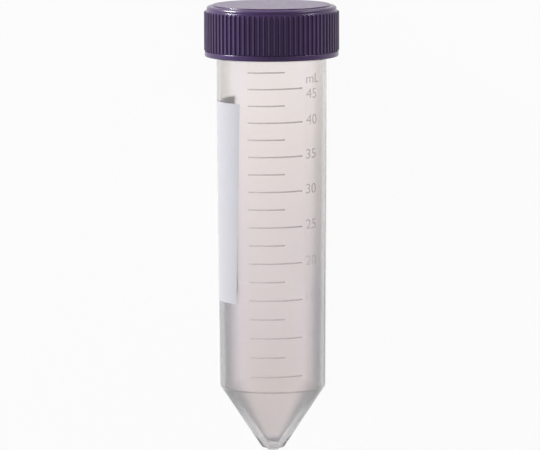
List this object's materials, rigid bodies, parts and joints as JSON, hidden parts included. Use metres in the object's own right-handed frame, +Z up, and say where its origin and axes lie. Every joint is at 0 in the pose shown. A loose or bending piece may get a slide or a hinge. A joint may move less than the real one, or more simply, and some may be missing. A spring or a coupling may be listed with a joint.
{
  "type": "conical centrifuge tube",
  "caption": "Translucent plastic tube with a conical tip, a printed volume scale and a ribbed screw cap, for spinning and storing liquid samples.",
  "frame": {"origin": "on the surface that the tube lies on, under the middle of its length", "axes": "+Y along the tube towards the cap (the tube's axis rises 2.4 degrees towards the cap, because the cap is wider than the body), +Z up, through the side that carries the scale; the writing panel is on the -X side"},
  "size_m": [0.0352, 0.1182, 0.0357],
  "materials": {
    "natural_polypropylene": "translucent natural polypropylene, smooth moulded",
    "navy_polyethylene": "dark navy moulded polyethylene, satin",
    "scale_ink": "grey printed ink",
    "panel_ink": "white printed writing panel, matt"
  },
  "bodies": {
    "tube": {"tube": "natural_polypropylene"},
    "cap": {"screw_cap": "navy_polyethylene"}
  },
  "joints": [
    {"name": "cap_lift", "type": "slide", "parent": "tube", "child": "cap", "axis": [0, 0.9991, 0.0427], "range_m": [0, 0.03]}
  ]
}
